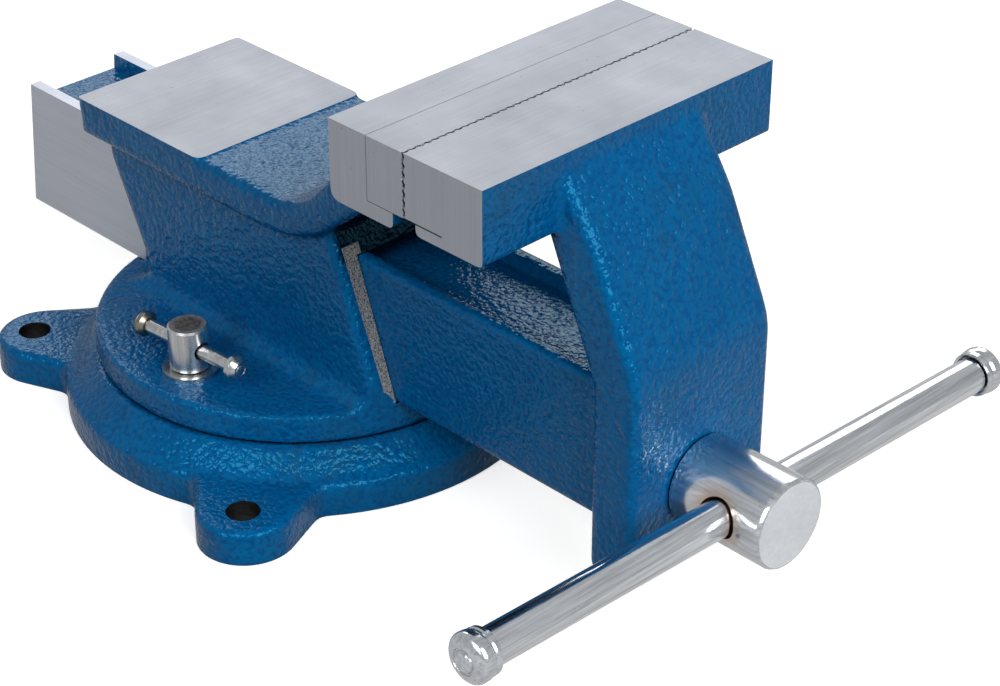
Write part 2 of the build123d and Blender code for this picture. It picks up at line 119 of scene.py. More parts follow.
# Reach of the cutters that machine the castings
FIXED_JAW_ZONE = 90.0 * MM
FRONT_JAW_ZONE = 100.0 * MM
JAW_ZONE_BOTTOM = 140.0 * MM
SEAT_DEPTH = 8.0 * MM
FIXED_SEAT_UNDER = 3.0 * MM
FRONT_SEAT_UNDER = 2.5 * MM
PASSAGE_FILL_START = 15.0 * MM
ANVIL_RUNOUT = 4.0 * MM
GROUND_SLIDE_END = 55.0 * MM
GROUND_SLIDE_RUNOUT = 5.0 * MM
SLIDE_REAR_OVERCUT = 20.0 * MM
RECESS_CUT_TOP = 104.0 * MM
BORE_CUT = (190.0 * MM, 240.0 * MM)
SPIGOT_CUT = (-20.0 * MM, 40.0 * MM)
EAR_CUT = (-20.0 * MM, 30.0 * MM)
STRIP_TOP = 32.9 * MM
STRIP_BOTTOM = 30.7 * MM
STRIP_INSIDE = 2.0 * MM
STRIP_FOOT = 1.5 * MM
STRIP_HEAD = 1.0 * MM
STRIP_DEPTH = 0.5 * MM

# Thread, head and serrations
THREAD_PITCH = 6.0 * MM
THREAD_ROOT = 8.9 * MM
THREAD_CREST = 11.9 * MM
THREAD_LEAD = 1.9 * MM
THREAD_FOOT = 0.36  # half the thread's foot, in pitches
THREAD_FLANK = 0.16
THREAD_STEPS = 10
SCREW_SIDES = 64
HEAD_STEPS = 36
HEAD_REAR_EDGE = 0.6 * MM
DISH_DEPTH = 1.1 * MM
DISH_REACH = 4.0 * MM
SERRATION_PITCH = 2.6 * MM
SERRATION_DEPTH = 1.0 * MM
SERRATION_STEP = 0.6 * MM
FIXED_PLATE_SEAM = 0.25 * MM
FRONT_PLATE_SEAM = 0.6 * MM
WEAR_SWING = 0.28
WEAR_LENGTHS = (3.1 * MM, 7.3 * MM)

# Colours of the finishes
ENAMEL_DEEP = (0.0, 0.09, 0.262)
ENAMEL_PALE = (0.0, 0.112, 0.3)
# Darker in the dimples' hollows: partly darker pigment, partly painted shade for the dimples' shading
ENAMEL_PIT_PIGMENT_AND_SHADE = (0.0, 0.07, 0.228)
ENAMEL_STAIN = (0.01, 0.06, 0.13)
ENAMEL_SHEEN = (0.1, 0.7, 1)
# Painted shade: near black, laid in crevices, where ambient occlusion finds surfaces within reach, and under
# the neck
PAINTED_SHADE = (0.0, 0.003, 0.008)
CREVICE_SHADE_REACH = 14.0 * MM
GROUND_DEEP = (0.328, 0.344, 0.383)
GROUND_PALE = (0.368, 0.384, 0.423)
GROUND_PIT = (0.2, 0.2, 0.21)
IRON_DEEP = (0.06, 0.06, 0.06)
IRON_PALE = (0.5, 0.5, 0.48)
PLATE_DEEP = (0.5, 0.52, 0.55)
PLATE_PALE = (0.82, 0.84, 0.87)
PLATE_CLEAR = (0.92, 0.94, 0.97)
PLATE_SPECK = (0.25, 0.25, 0.26)
DULL_DEEP = (0.42, 0.43, 0.43)
DULL_PALE = (0.68, 0.69, 0.69)
HOLE_RUST = (0.62, 0.42, 0.3)
HOLE_RUST_REACH = 4.5 * MM
TOP_RUST_DEEP = (0.07, 0.06, 0.052)
TOP_RUST_PALE = (0.2, 0.175, 0.15)
TOP_RING = (5.2 * MM, 6.4 * MM)

# Stage, light and camera
FLOOR_HALF = 6.0
FLOOR_BOTTOM = -20.0 * MM
FLOOR_TOP = -0.5 * MM
FLOOR_GLOW_REACH = (0.45, 1.6)
FLOOR_GLOW = (0.6, 1)
FLOOR_GLOSSY_SHARE = 0.4
FLOOR_BOUNCE = (0.04, 0.04, 0.04)
FLOOR_PALE = (0.85, 0.85, 0.85)
SKY_COLOUR = (0.96, 0.98, 1)
SKY_DIFFUSE = 0.06
SKY_GLOSSY = 0.5
SKY_SEEN = 1.05
LAMP_TARGET = (0.05, 0, 0.1)
CAMERA_PLACE = Vector((0.74015, -0.6068, 0.59315))
CAMERA_LOOK = Vector((-0.6128, 0.5988, -0.5158))
CAMERA_LENS = 92.66
CAMERA_SENSOR = 36


# Meshes and objects
def new_object(name, data):
    piece = bpy.data.objects.new(name, data)
    bpy.context.scene.collection.objects.link(piece)
    return piece


def object_of(name, shape):
    mesh = bpy.data.meshes.new(name)
    shape.to_mesh(mesh)
    shape.free()
    return new_object(name, mesh)


def closed_object(name, shape):
    """Object of a closed shape, with its faces turned outwards."""
    bmesh.ops.recalc_face_normals(shape, faces=shape.faces)
    return object_of(name, shape)


def add_block(shape, corners):
    """Adds a closed block: four corners of one face, then the four opposite ones in the same order."""
    at = [shape.verts.new(c) for c in corners]
    shape.faces.new(at[3::-1])
    shape.faces.new(at[4:])
    for i in range(4):
        j = (i + 1) % 4
        shape.faces.new((at[i], at[j], at[4 + j], at[4 + i]))


def add_rod(shape, start, end, radius, end_radius=None, sides=64):
    path = Vector(end) - Vector(start)
    turn = path.to_track_quat("Z", "Y").to_matrix().to_4x4()
    bmesh.ops.create_cone(shape, cap_ends=True, segments=sides, radius1=radius,
                          radius2=radius if end_radius is None else end_radius, depth=path.length,
                          matrix=Matrix.Translation((Vector(start) + Vector(end)) / 2) @ turn)


def box_corners(low, high):
    (x0, y0, z0), (x1, y1, z1) = low, high
    return [(x0, y0, z0), (x1, y0, z0), (x1, y1, z0), (x0, y1, z0),
            (x0, y0, z1), (x1, y0, z1), (x1, y1, z1), (x0, y1, z1)]


def slanted_corners(levels, half):
    """Corners of a block between two levels, each given as (z, low x, high x)."""
    return [corner for z, x0, x1 in levels
            for corner in ((x0, -half, z), (x1, -half, z), (x1, half, z), (x0, half, z))]


def block_object(name, corners):
    shape = bmesh.new()
    add_block(shape, corners)
    return closed_object(name, shape)


def box_object(name, low, high):
    return block_object(name, box_corners(low, high))


def rod_object(name, start, end, radius, end_radius=None, sides=64):
    shape = bmesh.new()
    add_rod(shape, start, end, radius, end_radius, sides)
    return object_of(name, shape)


def cut(piece, tools):
    for tool in tools:
        step = piece.modifiers.new(tool.name, "BOOLEAN")
        step.operation = "DIFFERENCE"
        step.solver = "MANIFOLD"
        step.object = tool


def stand_in(piece, body, node):
    """Puts a piece on a body, in place of a CAD node."""
    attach(piece, body)
    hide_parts(node)


def settled(name, raw, tools, body, node):
    """Stand-in for a node, with the raw object's modifiers applied. The raw object and its tools go."""
    bpy.context.view_layer.update()
    graph = bpy.context.evaluated_depsgraph_get()
    piece = new_object(name, bpy.data.meshes.new_from_object(raw.evaluated_get(graph)))
    for used in [raw, *tools]:
        bpy.data.objects.remove(used)
    stand_in(piece, body, node)
    return piece


def casting(name, node, body, reaches, stock, tools, plugs=()):
    """Cast skin for a CAD node. Machined faces get stock first, by moving their plane out or by blocks,
    then all edges are rounded, and the tools cut the machined faces flat and sharp.
    reaches: (axis, value, distance) moves the vertices of one plane."""
    shape = bmesh.new()
    shape.from_mesh(nodes[node].data)
    for axis, value, distance in reaches:
        for corner in shape.verts:
            if abs(corner.co[axis] - value) < SAME_PLANE:
                corner.co[axis] += distance
    for corners in stock:
        add_block(shape, corners)
    for plug in plugs:
        add_rod(shape, *plug)
    raw = closed_object(name + "_raw", shape)
    skin = raw.modifiers.new("skin", "REMESH")
    skin.mode = "VOXEL"
    skin.voxel_size = VOXEL
    soft = raw.modifiers.new("soft", "SMOOTH")
    soft.factor = SMOOTH_SHARE
    soft.iterations = SMOOTH_STEPS
    cut(raw, tools)
    fewer = raw.modifiers.new("fewer", "DECIMATE")
    fewer.ratio = KEEP_FACES
    return settled(name, raw, tools, body, node)


def axis_of(node_a, node_b):
    """Unit vector and middle between two nodes' box centres."""
    a = sum(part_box(node_a), Vector()) / 2
    b = sum(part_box(node_b), Vector()) / 2
    return (b - a).normalized(), (a + b) / 2


# Cross hole of the screw's head, where the handle's axis crosses the middle plane
HOLE_AXIS, handle_middle = axis_of("near_handle_knob", "far_handle_knob")
HOLE_PLACE = handle_middle - HOLE_AXIS * (handle_middle.y / HOLE_AXIS.y)


# Shader nodes
def material(name):
    made = bpy.data.materials.new(name)
    made.use_nodes = True
    tree = made.node_tree
    return made, tree, tree.nodes["Principled BSDF"]


def feed(tree, socket, value):
    """Gives an input another node's output to follow, a colour or a plain value."""
    if isinstance(value, bpy.types.NodeSocket):
        tree.links.new(value, socket)
    elif socket.type == "RGBA":
        socket.default_value = (*value, 1)
    else:
        socket.default_value = value


def set_inputs(tree, node, **inputs):
    """Feeds inputs by name, with _ for a space."""
    for key, value in inputs.items():
        feed(tree, node.inputs[key.replace("_", " ")], value)


def add(tree, kind, **inputs):
    node = tree.nodes.new(kind)
    set_inputs(tree, node, **inputs)
    return node


def math_node(tree, kind, operation, values):
    node = tree.nodes.new(kind)
    node.operation = operation
    for socket, value in zip(node.inputs, values):
        feed(tree, socket, value)
    return node


def computed(tree, operation, *values):
    return math_node(tree, "ShaderNodeMath", operation, values).outputs["Value"]


def product(tree, factors):
    total = factors[0]
    for factor in factors[1:]:
        total = computed(tree, "MULTIPLY", total, factor)
    return total


def coordinate(tree, kind):
    """The piece's own place, for Object, or the way that its surface looks, for Normal."""
    return tree.nodes.new("ShaderNodeTexCoord").outputs[kind]


def split(tree, vector):
    return add(tree, "ShaderNodeSeparateXYZ", Vector=vector).outputs


def off_line(tree, place, centre, axis):
    """Distance of a place from a line."""
    kind = "ShaderNodeVectorMath"
    away = math_node(tree, kind, "SUBTRACT", (place, centre)).outputs["Vector"]
    cross = math_node(tree, kind, "CROSS_PRODUCT", (away, axis)).outputs["Vector"]
    return math_node(tree, kind, "LENGTH", (cross,)).outputs["Value"]


def remapped(tree, value, given, wanted):
    """A value taken from one range to another and held at its ends."""
    node = add(tree, "ShaderNodeMapRange", Value=value, From_Min=given[0], From_Max=given[1],
               To_Min=wanted[0], To_Max=wanted[1])
    return node.outputs["Result"]


def mixed(tree, factor, first, second):
    """Colour between two colours, by a factor. The mix node has its colours at inputs 6 and 7, output 2."""
    node = tree.nodes.new("ShaderNodeMix")
    node.data_type = "RGBA"
    feed(tree, node.inputs["Factor"], factor)
    feed(tree, node.inputs[6], first)
    feed(tree, node.inputs[7], second)
    return node.outputs[2]


def noise(tree, place, scale, detail, roughness):
    node = add(tree, "ShaderNodeTexNoise", Vector=place, Scale=scale, Detail=detail, Roughness=roughness)
    return node.outputs["Fac"]


def streaks(tree, place, along, slow, fast, detail, roughness):
    """Noise drawn out along one axis."""
    stretch = [slow if axis == along else fast for axis in (X, Y, Z)]
    drawn = add(tree, "ShaderNodeMapping", Vector=place, Scale=stretch).outputs["Vector"]
    return noise(tree, drawn, 1, detail, roughness)


def bumped(tree, shader, heights):
    """Bumps one after another: (height socket, strength, distance)."""
    before = None
    for height, strength, distance in heights:
        node = add(tree, "ShaderNodeBump", Height=height, Strength=strength, Distance=distance)
        if before:
            feed(tree, node.inputs["Normal"], before)
        before = node.outputs["Normal"]
    feed(tree, shader.inputs["Normal"], before)


# Materials
def painted_shade_under_neck(tree, place):
    """Share of painted shade on the faces between the neck and the slide that don't look up, where the neck
    and the jaw shade them.
    """
    at = split(tree, place)
    aside = computed(tree, "ABSOLUTE", at["Y"])
    not_up = remapped(tree, split(tree, coordinate(tree, "Normal"))["Z"], (0.4, 0.55), (0.96, 0))
    over_slide = remapped(tree, at["Z"], (SLIDE_TOP - 1 * MM, SLIDE_TOP), (0, 1))
    under_jaw = remapped(tree, at["Z"], (TABLE_TOP + 20 * MM, TABLE_TOP + 35 * MM), (1, 0))
    at_front = remapped(tree, at["X"], (BODY_FRONT_TOP - 30 * MM, BODY_FRONT_TOP - 10 * MM), (0, 1))
    behind_plate = remapped(tree, at["X"], (rear_plate_low.x - 10 * MM, rear_plate_low.x), (1, 0))
    between_strips = remapped(tree, aside, (STRIP_TOP, STRIP_TOP + 3 * MM), (1, 0))
    return product(tree, [not_up, over_slide, under_jaw, at_front, behind_plate, between_strips])


def blue_enamel():
    made, tree, shader = material("blue_enamel")
    place = coordinate(tree, "Object")
    dimples = noise(tree, place, scale=470, detail=1.2, roughness=0.45)
    waves = noise(tree, place, scale=150, detail=1, roughness=0.4)
    broad = noise(tree, place, scale=25, detail=3, roughness=0.6)
    dirt = noise(tree, place, scale=18, detail=6, roughness=0.75)
    colour = mixed(tree, remapped(tree, broad, (0.35, 0.7), (0, 1)), ENAMEL_DEEP, ENAMEL_PALE)
    # Darker where the dimples sink: partly darker pigment, partly painted shade
    colour = mixed(tree, remapped(tree, dimples, (0.34, 0.56), (1, 0)), colour, ENAMEL_PIT_PIGMENT_AND_SHADE)
    colour = mixed(tree, remapped(tree, dirt, (0.56, 0.74), (0, 0.8)), colour, ENAMEL_STAIN)
    # Painted shade: darker in crevices, where ambient occlusion finds surfaces within reach
    open_share = add(tree, "ShaderNodeAmbientOcclusion", Distance=CREVICE_SHADE_REACH)
    open_share.samples = 6
    crevice_shade = remapped(tree, open_share.outputs["AO"], (0.2, 0.5), (0.97, 0))
    colour = mixed(tree, crevice_shade, colour, PAINTED_SHADE)
    # Painted shade: near black on the faces under the neck, above the slide
    colour = mixed(tree, painted_shade_under_neck(tree, place), colour, PAINTED_SHADE)
    set_inputs(tree, shader, Base_Color=colour, Roughness=0.1, Specular_IOR_Level=0.36,
               Specular_Tint=ENAMEL_SHEEN)
    bumped(tree, shader, [(waves, 0.6, 0.9 * MM), (dimples, 0.9, 0.8 * MM)])
    return made


def ground_steel(name, along, tint):
    """Ground steel with grinding lines along one axis, lighter or darker by a tint."""
    made, tree, shader = material(name)
    place = coordinate(tree, "Object")
    lines = streaks(tree, place, along, slow=18, fast=1100, detail=3, roughness=0.65)
    blotch = noise(tree, place, scale=30, detail=3, roughness=0.6)
    pits = noise(tree, place, scale=700, detail=1, roughness=0.5)
    deep, pale = [tuple(tint * share for share in colour) for colour in (GROUND_DEEP, GROUND_PALE)]
    colour = mixed(tree, remapped(tree, lines, (0.3, 0.7), (0, 1)), deep, pale)
    colour = mixed(tree, remapped(tree, pits, (0.78, 0.82), (0, 1)), colour, GROUND_PIT)
    set_inputs(tree, shader, Base_Color=colour, Metallic=1,
               Roughness=remapped(tree, blotch, (0.3, 0.7), (0.48, 0.58)))
    bumped(tree, shader, [(lines, 0.2, 0.1 * MM)])
    return made


def plated(name, deep, pale, rough, along, streak, tint=None):
    """Plated steel with drawing streaks along one axis. rough is the range of its roughness, and tint a
    function that adds to the colour."""
    made, tree, shader = material(name)
    place = coordinate(tree, "Object")
    cloud = noise(tree, place, scale=45, detail=4, roughness=0.6)
    lines = streaks(tree, place, along, slow=14, fast=500, detail=4, roughness=0.7)
    colour = mixed(tree, remapped(tree, lines, (0.35, 0.68), (0, 1)), pale, deep)
    set_inputs(tree, shader, Metallic=1, Roughness=remapped(tree, cloud, (0.3, 0.7), rough))
    if tint:
        colour = tint(tree, place, colour, shader)
    set_inputs(tree, shader, Base_Color=colour)
    bumped(tree, shader, [(cloud, 0.05, 0.6 * MM), (lines, streak, 0.15 * MM)])
    return made


def bare_iron():
    made, tree, shader = material("bare_iron")
    grain = noise(tree, coordinate(tree, "Object"), scale=1500, detail=2, roughness=0.7)
    colour = mixed(tree, remapped(tree, grain, (0.38, 0.62), (0, 1)), IRON_DEEP, IRON_PALE)
    set_inputs(tree, shader, Base_Color=colour, Metallic=0.3, Roughness=0.5)
    bumped(tree, shader, [(grain, 0.5, 0.3 * MM)])
    return made


def rust_at_hole(tree, place, colour, shader):
    """Specks all over, and a warm tint beside the cross hole of the screw's head."""
    specks = noise(tree, place, scale=900, detail=1, roughness=0.5)
    colour = mixed(tree, remapped(tree, specks, (0.68, 0.76), (0, 0.5)), colour, PLATE_SPECK)
    far = off_line(tree, place, HOLE_PLACE, HOLE_AXIS)
    near = remapped(tree, far, (HOLE_RADIUS, HOLE_RADIUS + HOLE_RUST_REACH), (0.7, 0))
    return mixed(tree, near, colour, HOLE_RUST)


def worn_top(node):
    """Brown, worn upper face with a ring, for one clamp screw."""
    low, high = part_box(node)

    def tint(tree, place, colour, shader):
        far = off_line(tree, place, (low + high) / 2, (0, 0, 1))
        ring = remapped(tree, far, TOP_RING, (1, 0.55))
        up = remapped(tree, split(tree, coordinate(tree, "Normal"))["Z"], (0.8, 0.95), (0, 1))
        worn = product(tree, [ring, up])
        set_inputs(tree, shader, Metallic=remapped(tree, worn, (0, 1), (1, 0.25)))
        grain = noise(tree, place, scale=600, detail=3, roughness=0.6)
        rust = mixed(tree, remapped(tree, grain, (0.4, 0.65), (0, 1)), TOP_RUST_DEEP, TOP_RUST_PALE)
        return mixed(tree, worn, colour, rust)

    return tint


BLUE = blue_enamel()
STEEL_X = ground_steel("ground_steel_x", X, 1.5)
STEEL_Y = ground_steel("ground_steel_y", Y, 1.0)
STEEL_Z = ground_steel("ground_steel_z", Z, 1.08)
BRIGHT = plated("bright_plate", (0.52, 0.54, 0.57), PLATE_PALE, (0.13, 0.22), X, 0.2, rust_at_hole)
BRIGHT_BAR = plated("bright_plate_bar", PLATE_DEEP, PLATE_CLEAR, (0.1, 0.18), Y, 0.35)
BRIGHT_KNOB = plated("bright_plate_knob", PLATE_DEEP, PLATE_PALE, (0.12, 0.2), Y, 0.2)
BRIGHT_END = plated("bright_plate_end", (0.84, 0.86, 0.9), PLATE_CLEAR, (0.42, 0.54), X, 0.05)
DULL = plated("dull_plate", DULL_DEEP, DULL_PALE, (0.18, 0.3), Z, 0.2)
BROWN = plated("dull_plate_brown", (0.2, 0.17, 0.14), (0.34, 0.31, 0.27), (0.25, 0.4), Z, 0.2)
# Dark steel for the parts made of it, also laid on the ear holes' walls as painted shade
DARK_STEEL_AND_HOLE_SHADE = plated("dark_steel", (0.05, 0.05, 0.05), (0.1, 0.1, 0.1), (0.35, 0.5), X, 0.1)
IRON = bare_iron()
FINISH = {"blue_enamel": BLUE, "ground_steel": STEEL_Y, "bright_plate": BRIGHT, "dull_plate": DULL,
          "dark_steel": DARK_STEEL_AND_HOLE_SHADE, "bare_iron": IRON}

for row in frame["record"]["subparts"]:
    mesh = nodes[row["node"]].data
    mesh.materials.clear()
    mesh.materials.append(FINISH[row["material_slot"]])
for node in ("left_clamp_screw", "right_clamp_screw"):
    nodes[node].data.materials[0] = plated(node + "_plate", DULL_DEEP, DULL_PALE, (0.2, 0.32), Z, 0.2,
                                           worn_top(node))


# Finishes on faces
def face_data(mesh):
    count = len(mesh.polygons)
    centre = np.empty(count * 3)
    normal = np.empty(count * 3)
    mesh.polygons.foreach_get("center", centre)
    mesh.polygons.foreach_get("normal", normal)
    return centre.reshape(-1, 3), normal.reshape(-1, 3)


def flat(centre, normal, axis, value):
    """Mask of the faces that lie in a plane across an axis."""
    return (np.abs(centre[:, axis] - value) < FLAT_BAND) & (np.abs(normal[:, axis]) > SQUARE)


def set_sharp(mesh, angle):
    """Smooth shading, sharp at corners and where two finishes meet."""
    mesh.shade_smooth()
    mesh.set_sharp_from_angle(angle=angle)
    shape = bmesh.new()
    shape.from_mesh(mesh)
    for edge in shape.edges:
        if len({face.material_index for face in edge.link_faces}) > 1:
            edge.smooth = False
    shape.to_mesh(mesh)
    shape.free()


def paint(piece, finishes, picks, angle=SHARP_ANGLE):
    """First finish all over, then picks of (finish, mask over faces)."""
    mesh = piece.data
    mesh.materials.clear()
    for finish in finishes:
        mesh.materials.append(finish)
    index = np.zeros(len(mesh.polygons), dtype=np.int32)
    for finish, mask in picks:
        index[mask] = finishes.index(finish)
    mesh.polygons.foreach_set("material_index", index)
    set_sharp(mesh, angle)


# Castings
JAW_REACHES = [(Y, -JAW_HALF, -STOCK), (Y, JAW_HALF, STOCK), (Z, JAW_TOP, STOCK)]


def seat_stock(low_x, high_x, under):
    """Stock round the seat of a jaw plate, reaching under it."""
    return box_corners((low_x, -JAW_HALF - STOCK, PLATE_BOTTOM - under),
                       (high_x, JAW_HALF + STOCK, JAW_TOP + STOCK))


def jaw_cutters(start):
    """Cutters for a jaw's top and its two ends, from a place along the screw."""
    return [box_object("jaw_top", (start, -FAR, JAW_TOP), (FAR, FAR, FAR)),
            box_object("jaw_near", (start, -FAR, JAW_ZONE_BOTTOM), (FAR, -JAW_HALF, FAR)),
            box_object("jaw_far", (start, JAW_HALF, JAW_ZONE_BOTTOM), (FAR, FAR, FAR))]


def jaw_faces(centre, normal, seat_x):
    """Masks of a jaw's seat for its plate, its top and its ends."""
    seat = flat(centre, normal, X, seat_x) | flat(centre, normal, Z, PLATE_BOTTOM)
    ends = flat(centre, normal, Y, -JAW_HALF) | flat(centre, normal, Y, JAW_HALF)
    return seat, flat(centre, normal, Z, JAW_TOP), ends


def front_face_x(z):
    """Place of the body's slanted front face at a height."""
    slope = (BODY_FRONT_BOTTOM - BODY_FRONT_TOP) / (TABLE_BOTTOM - SWIVEL_TOP)
    return BODY_FRONT_BOTTOM - slope * (z - SWIVEL_TOP)


def slide_rear_x(z):
    """Place of the slide's leaning rear end at a height."""
    lean = SLIDE_LEAN / (SLIDE_TOP - SLIDE_BOTTOM)
    return SLIDE_REAR + lean * (z - SLIDE_BOTTOM)


def strip_block(side):
    """Cutter for the bare strip beside the slide on the body's front face."""
    low, high = SWIVEL_TOP + STRIP_FOOT, TABLE_BOTTOM + STRIP_HEAD
    inner = side * (SLIDE_HALF - STRIP_INSIDE)
    corners = []
    for depth in (-STRIP_DEPTH, STOCK):
        for z, edge in ((low, STRIP_BOTTOM), (high, STRIP_TOP)):
            x = front_face_x(z) + depth
            ends = [(x, inner, z), (x, side * edge, z)]
            corners += ends if z == low else ends[::-1]
    return block_object("strip", corners)


def fixed_casting():
    passage_half = SLIDE_HALF + SLIDE_GAP
    passage_low, passage_high = SLIDE_BOTTOM - SLIDE_GAP, SLIDE_TOP + SLIDE_GAP
    rear, low, high = BODY_REAR + PASSAGE_FILL_START, passage_low - 0.3 * MM, passage_high + 1 * MM
    fill = slanted_corners([(low, rear, front_face_x(low)), (high, rear, front_face_x(high))],
                           passage_half + 1 * MM)
    seat_block = seat_stock(rear_plate_low.x - SEAT_DEPTH, rear_plate_high.x - LEDGE_SETBACK,
                            FIXED_SEAT_UNDER)
    tools = [box_object("passage", (-FAR, -passage_half, passage_low), (FAR, passage_half, passage_high)),
             box_object("plate_seat", (rear_plate_low.x, -FAR, PLATE_BOTTOM), (FAR, FAR, FAR)),
             *jaw_cutters(FIXED_JAW_ZONE),
             box_object("anvil", (-FAR, -FAR, TABLE_TOP), (ANVIL_FRONT + ANVIL_RUNOUT, FAR, FAR)),
             strip_block(-1), strip_block(1)]
    piece = casting("fixed_casting", "fixed_body", "body", [*JAW_REACHES, (Z, TABLE_TOP, STOCK)],
                    [fill, seat_block], tools)
    centre, normal = face_data(piece.data)
    seat, top, ends = jaw_faces(centre, normal, rear_plate_low.x)
    anvil = flat(centre, normal, Z, TABLE_TOP) & (centre[:, X] < ANVIL_FRONT + ANVIL_RUNOUT + MARGIN)
    ahead = centre[:, X] - front_face_x(centre[:, Z])
    strip = (np.abs(ahead + STRIP_DEPTH) < STRIP_BAND) & (np.abs(centre[:, Y]) < STRIP_TOP)
    strip &= normal[:, X] > 0.9
    inside = (np.abs(centre[:, Y]) < passage_half + 0.1 * MM) & (centre[:, Z] < SLIDE_TOP + MARGIN)
    inside &= (centre[:, Z] > SWIVEL_TOP) & (np.abs(normal[:, X]) < STEEP) & (normal[:, Z] < 0.5)
    paint(piece, [BLUE, STEEL_Y, STEEL_Z, IRON, STEEL_X],
          [(STEEL_X, inside), (IRON, strip), (STEEL_Y, seat | top | anvil), (STEEL_Z, ends)])


def movable_casting():
    grown = SLIDE_HALF + STOCK
    fill = box_corners((SLIDE_REAR, -SLIDE_HALF + 1 * MM, SLIDE_BOTTOM + 1 * MM),
                       (ARM_REAR + 3 * MM, SLIDE_HALF - 1 * MM, SLIDE_TOP - 1 * MM))
    machined = box_corners((SLIDE_REAR - STOCK, -grown, SLIDE_BOTTOM - STOCK),
                           (GROUND_SLIDE_END, grown, SLIDE_TOP + STOCK))
    seat_block = seat_stock(front_plate_low.x + LEDGE_SETBACK, front_plate_high.x + SEAT_DEPTH,
                            FRONT_SEAT_UNDER)
    end = GROUND_SLIDE_END + GROUND_SLIDE_RUNOUT
    low, high = SLIDE_BOTTOM - SLIDE_REAR_OVERCUT, SLIDE_TOP + SLIDE_REAR_OVERCUT
    rear_end = slanted_corners([(low, -FAR, slide_rear_x(low)), (high, -FAR, slide_rear_x(high))], FAR)
    bore_rear, bore_front = BORE_CUT
    tools = [box_object("plate_seat", (-FAR, -FAR, PLATE_BOTTOM), (front_plate_high.x, FAR, FAR)),
             *jaw_cutters(FRONT_JAW_ZONE),
             box_object("slide_near", (-FAR, -FAR, 0), (end, -SLIDE_HALF, FAR)),
             box_object("slide_far", (-FAR, SLIDE_HALF, 0), (end, FAR, FAR)),
             box_object("slide_over", (-FAR, -FAR, SLIDE_TOP), (end, FAR, FAR)),
             box_object("slide_under", (-FAR, -FAR, -FAR), (end, FAR, SLIDE_BOTTOM)),
             block_object("slide_rear", rear_end),
             box_object("recess", (-FAR, -SLIDE_INNER, RECESS_FLOOR),
                        (ARM_REAR, SLIDE_INNER, RECESS_CUT_TOP)),
             box_object("hollow", (-FAR, -SLIDE_INNER, -FAR), (ARM_REAR, SLIDE_INNER, HOLLOW_TOP)),
             rod_object("bore", (bore_rear, 0, SCREW_Z), (bore_front, 0, SCREW_Z), SCREW_BORE)]
    piece = casting("movable_casting", "movable_jaw", "front_jaw", JAW_REACHES,
                    [fill, machined, seat_block], tools)
    centre, normal = face_data(piece.data)
    seat, top, ends = jaw_faces(centre, normal, front_plate_high.x)
    sides = flat(centre, normal, Y, -SLIDE_HALF) | flat(centre, normal, Y, SLIDE_HALF)
    sides |= flat(centre, normal, Z, SLIDE_TOP) | flat(centre, normal, Z, SLIDE_BOTTOM)
    sides &= centre[:, X] < end + MARGIN
    paint(piece, [BLUE, STEEL_Y, STEEL_Z, STEEL_X],
          [(STEEL_X, sides), (STEEL_Y, seat | top), (STEEL_Z, ends)])


def base_casting():
    spigot_low, spigot_high = SPIGOT_CUT
    ear_low, ear_high = EAR_CUT
    tools = [rod_object("bore", (0, 0, spigot_low), (0, 0, spigot_high), SPIGOT_BORE),
             box_object("foot", (-FAR, -FAR, -FAR), (FAR, FAR, 0))]
    plugs = []
    for i in range(4):
        turn = math.radians(EAR_TURN + 90 * i)
        x, y = EAR_CIRCLE * math.cos(turn), EAR_CIRCLE * math.sin(turn)
        plugs.append(((x, y, -STOCK + 1 * MM), (x, y, EAR_HEIGHT), EAR_HOLE + 0.3 * MM))
        tools.append(rod_object("ear_hole", (x, y, ear_low), (x, y, ear_high), EAR_HOLE))
    piece = casting("base_casting", "swivel_base", "base", [(Z, 0, -STOCK)], [], tools, plugs)
    centre, normal = face_data(piece.data)
    # The ear holes' walls get the dark steel as painted shade, for the shade inside the holes
    inside = np.zeros(len(centre), dtype=bool)
    for (x, y, _), _, _ in plugs:
        off = np.hypot(centre[:, X] - x, centre[:, Y] - y)
        inside |= (off < EAR_HOLE + 0.2 * MM) & (np.abs(normal[:, Z]) < STEEP)
    paint(piece, [BLUE, DARK_STEEL_AND_HOLE_SHADE], [(DARK_STEEL_AND_HOLE_SHADE, inside)])


# Jaw plates
def serration(y, z):
    """Depth of the crossed grooves at a place on a gripping face, from 0 to 1."""
    def groove(t):
        return 1 - abs(2 * (t / SERRATION_PITCH % 1) - 1)
    return max(groove((y + z) / math.sqrt(2)), groove((y - z) / math.sqrt(2))) ** 2


def wear(y, z):
    """Share of the grooves' depth that wear has left at a place."""
    short, long = WEAR_LENGTHS
    return 1 - WEAR_SWING + WEAR_SWING * math.sin(y / short) * math.sin((y + z) / long)


def plate_screw_cutters(face_x, back_x, into):
    """Cutters for the two sunk screws of a jaw plate: pocket, cone and shank."""
    z = (PLATE_BOTTOM + JAW_TOP) / 2
    seat = face_x + into * PLATE_SCREW_SINK
    cone_top = seat - into * 0.01 * MM
    cone_bottom = seat + into * (PLATE_SCREW_HEAD - PLATE_SCREW_SHANK)
    front, back = face_x - into * 5 * MM, back_x + into * 5 * MM
    tools = []
    for y in (-PLATE_SCREW_Y, PLATE_SCREW_Y):
        tools += [rod_object("pocket", (front, y, z), (seat, y, z), PLATE_SCREW_HEAD),
                  rod_object("cone", (cone_top, y, z), (cone_bottom, y, z),
                             PLATE_SCREW_HEAD, PLATE_SCREW_SHANK),
                  rod_object("shank", (seat, y, z), (back, y, z), PLATE_SCREW_SHANK)]
    return tools


